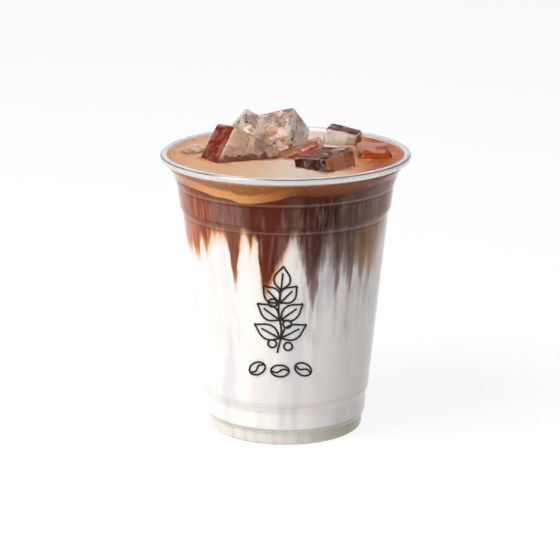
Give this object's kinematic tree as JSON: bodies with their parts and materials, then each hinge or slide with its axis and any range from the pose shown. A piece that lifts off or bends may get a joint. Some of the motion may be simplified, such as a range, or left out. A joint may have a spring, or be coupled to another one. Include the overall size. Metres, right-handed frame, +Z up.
{
  "type": "iced latte",
  "caption": "Layered iced latte in a clear cold cup with a rolled rim: milk below, coffee streaking down, foam on top and blocks of ice standing out.",
  "frame": {"origin": "on the table at the cup's axis, under the foot ring", "axes": "+Z up along the cup's axis, -Y towards the front, +X to the right seen from the front"},
  "size_m": [0.098, 0.098, 0.1259],
  "materials": {
    "clear_sheet": "clear, glossy",
    "milk": "smooth, milky",
    "coffee": "smooth, marbled with milk",
    "foam": "fine foam with small bubbles",
    "ice": "clear, cracked, wet"
  },
  "bodies": {
    "root": {"cup": "clear_sheet", "milk": "milk", "coffee": "coffee", "crema": "foam", "ice_front_left": "ice", "ice_back_left": "ice", "ice_top": "ice", "ice_slab": "ice", "ice_back_right": "ice", "ice_right": "ice", "ice_front_right": "ice", "ice_left": "ice"}
  },
  "joints": []
}
